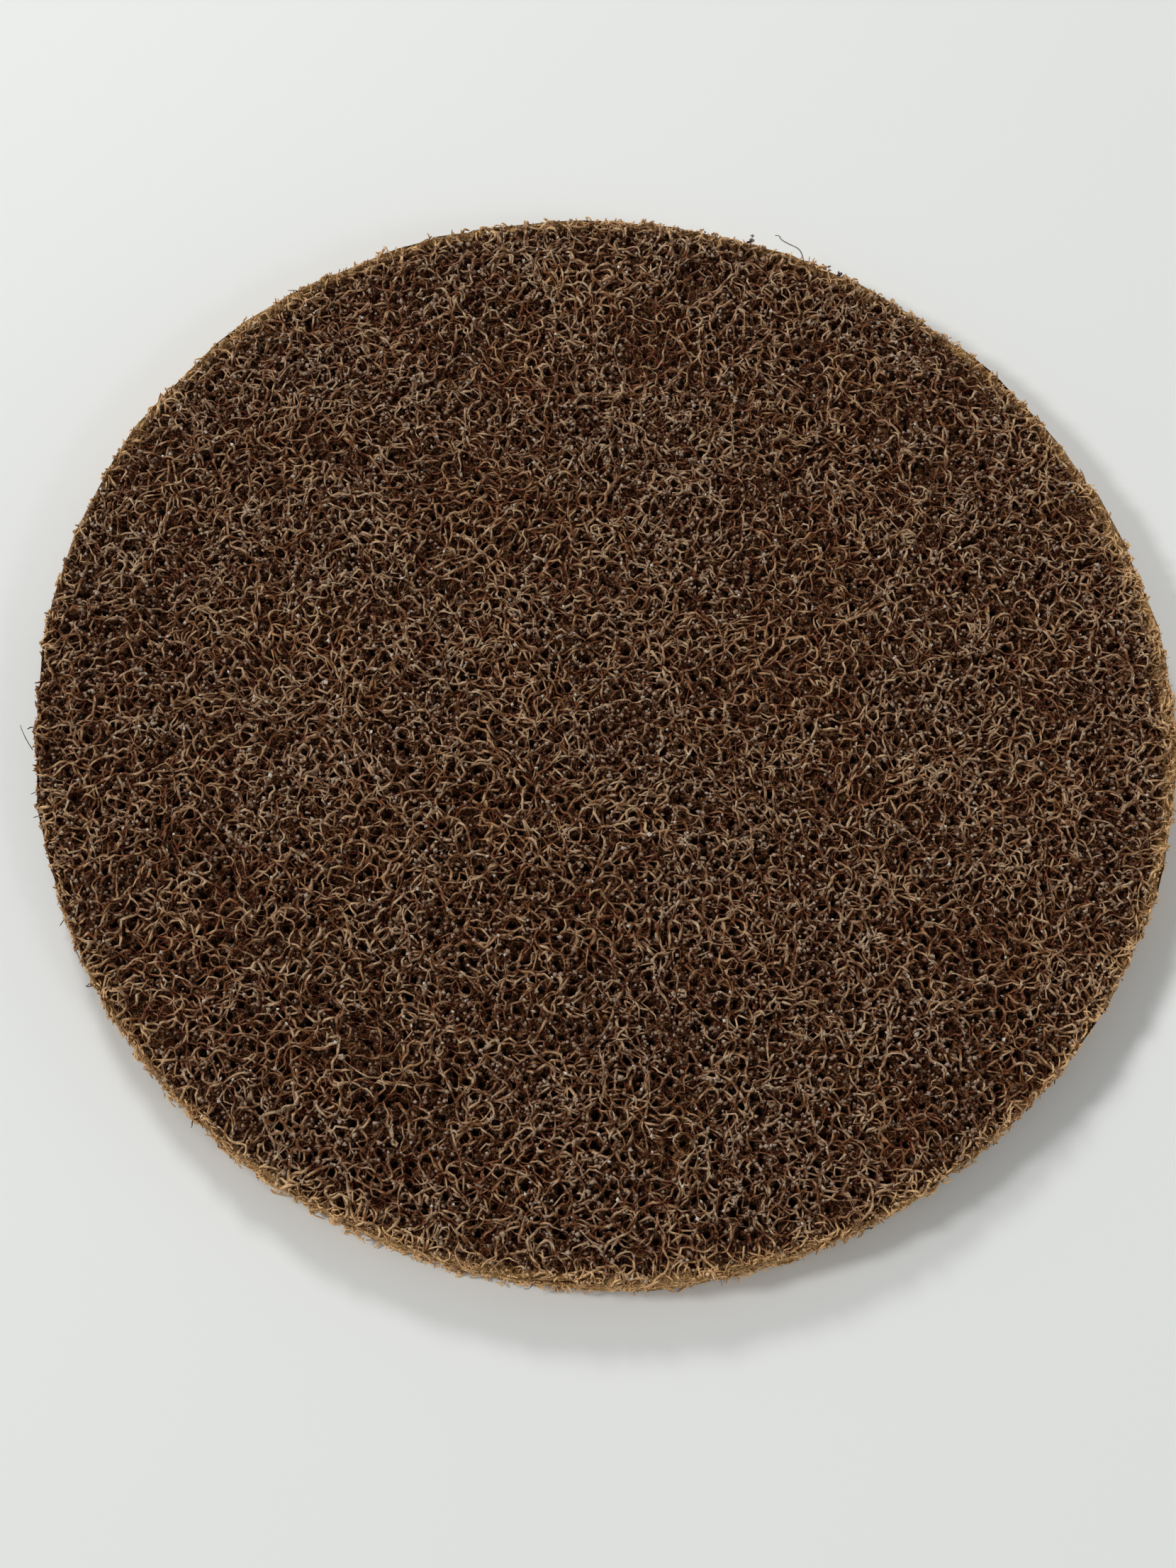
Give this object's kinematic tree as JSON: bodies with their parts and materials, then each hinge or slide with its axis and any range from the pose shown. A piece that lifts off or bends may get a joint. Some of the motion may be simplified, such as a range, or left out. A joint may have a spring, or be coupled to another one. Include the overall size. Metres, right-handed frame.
{
  "type": "surface finishing disc",
  "caption": "Round brown surface finishing disc of open non-woven fibre web with mineral grain, ragged die-cut edge and a flat back.",
  "frame": {"origin": "middle of the flat back, where the disc rests", "axes": "+Z out of the open working face, away from the back; X and Y lie in the back and are equal, because the disc is round"},
  "size_m": [0.1246, 0.125, 0.006],
  "materials": {
    "bonded_web": "matt brown nylon fibre web, coated with resin and mineral grain"
  },
  "bodies": {
    "root": {"web_disc": "bonded_web"}
  },
  "joints": []
}
